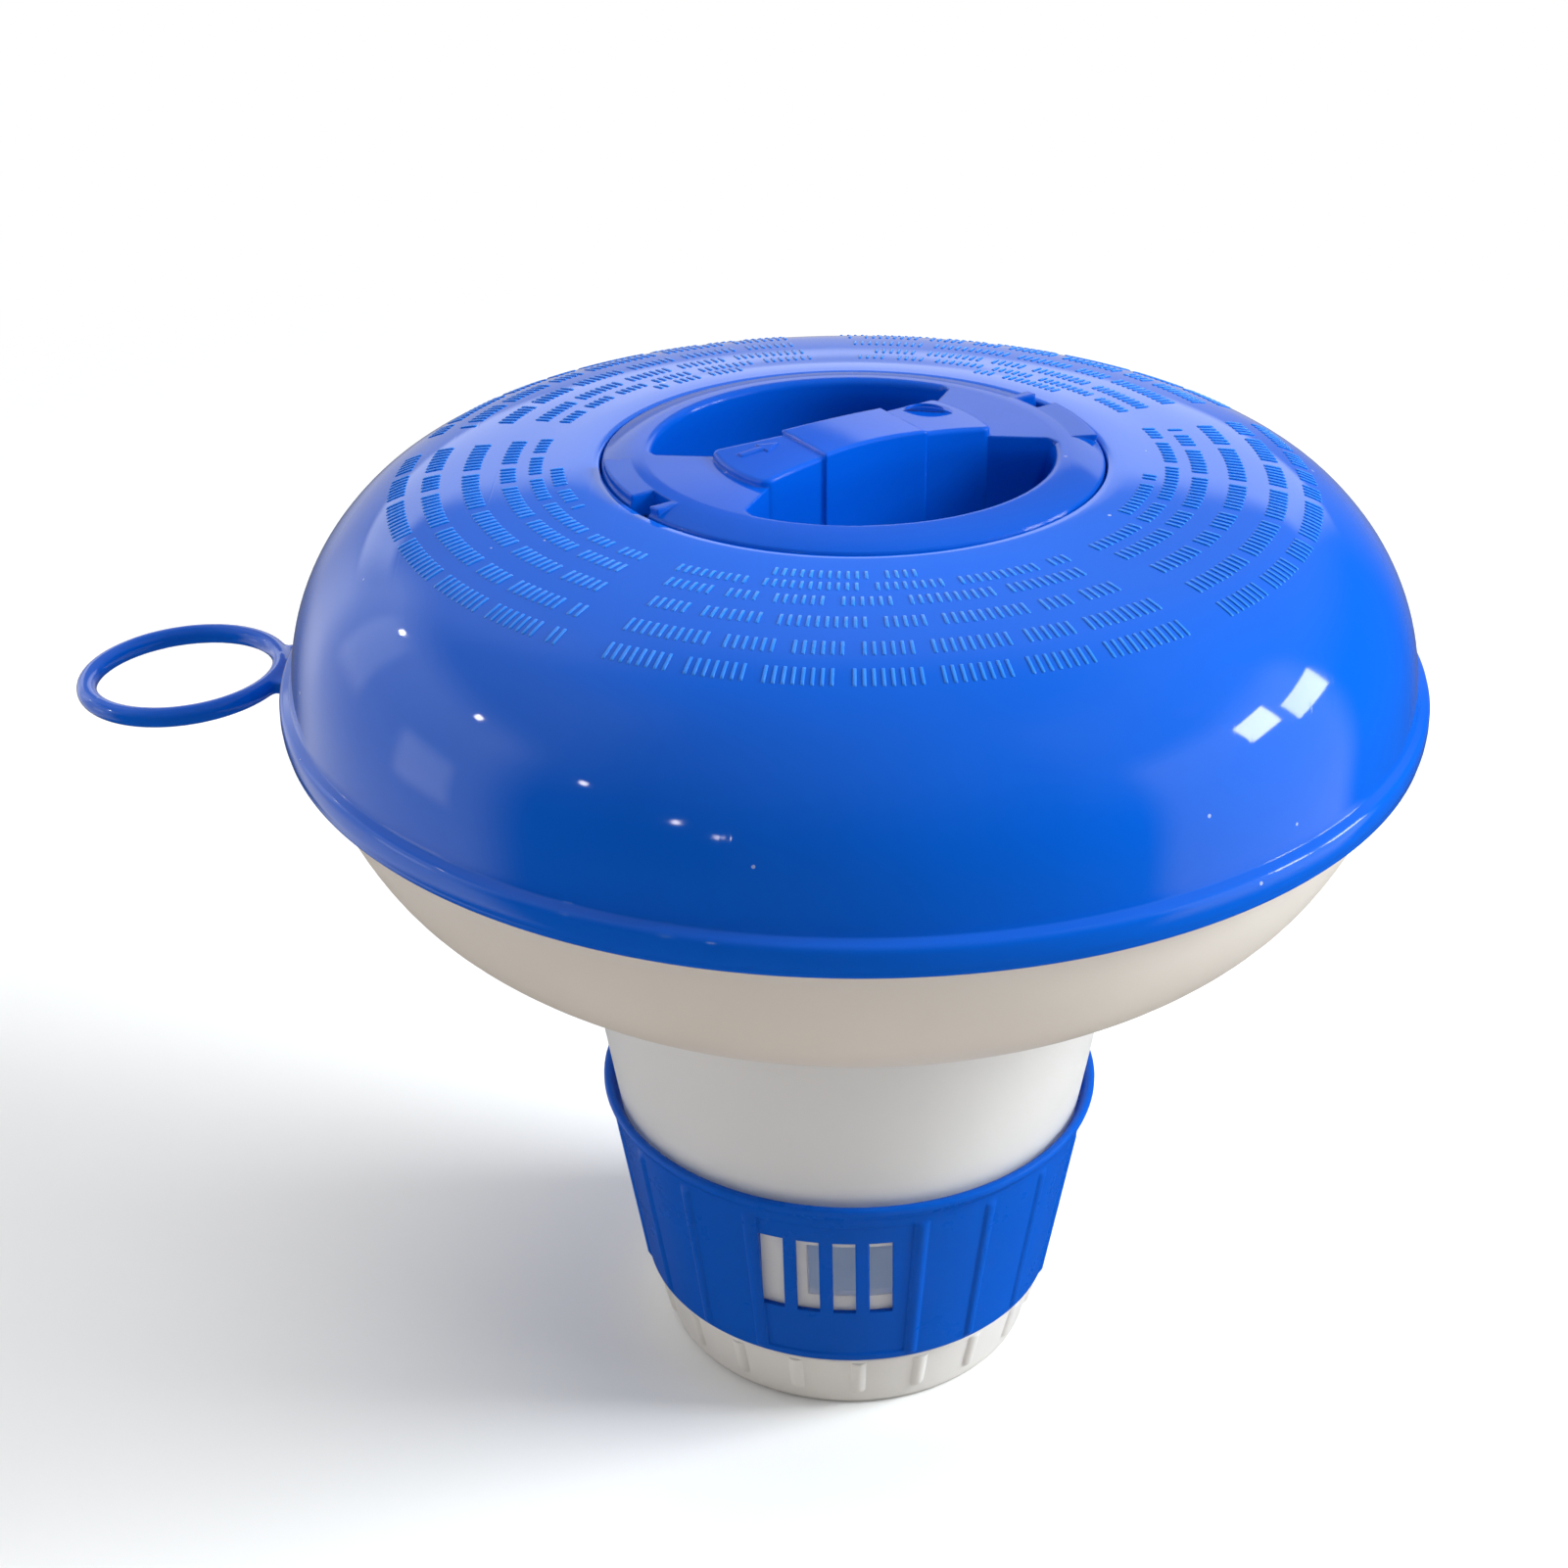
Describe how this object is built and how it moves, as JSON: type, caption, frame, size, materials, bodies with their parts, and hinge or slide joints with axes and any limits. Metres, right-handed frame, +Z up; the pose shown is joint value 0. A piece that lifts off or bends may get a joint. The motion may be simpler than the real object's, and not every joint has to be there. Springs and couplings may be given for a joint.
{
  "type": "floating chlorine dispenser",
  "caption": "Domed pool float with a central tablet well, a bayonet locking cap with a finger bar, a slotted submerged chamber and a turning flow sleeve that opens or shuts its slots.",
  "frame": {"origin": "centre of the flat underside of the bottom cap, on the float's vertical axis", "axes": "+Z up along the vertical axis from the base to the locking cap; -X towards the tether eye"},
  "size_m": [0.24, 0.2026, 0.186],
  "materials": {
    "shell_blue": "glossy moulded royal blue",
    "cap_blue": "glossy moulded royal blue",
    "sleeve_blue": "semi-gloss moulded blue",
    "bowl_white": "satin white with a fine mould grain",
    "canister_white": "satin white",
    "base_white": "satin white",
    "gasket_black": "soft black rubber"
  },
  "bodies": {
    "float": {"upper_float_shell": "shell_blue", "lower_float_shell": "bowl_white", "tablet_canister": "canister_white", "bottom_cap": "base_white"},
    "sleeve": {"flow_sleeve": "sleeve_blue"},
    "cap_seal": {"cap_gasket": "gasket_black"},
    "cap": {"locking_cap": "cap_blue"}
  },
  "joints": [
    {"name": "sleeve_turn", "type": "hinge", "parent": "float", "child": "sleeve", "pos_m": [0, 0, 0], "axis": [0, 0, 1], "range_deg": [-24, 12]},
    {"name": "cap_lift", "type": "slide", "parent": "float", "child": "cap_seal", "axis": [0, 0, 1], "range_m": [0, 0.04]},
    {"name": "cap_turn", "type": "hinge", "parent": "cap_seal", "child": "cap", "pos_m": [0, 0, 0], "axis": [0, 0, 1], "range_deg": [-60, 0]}
  ]
}
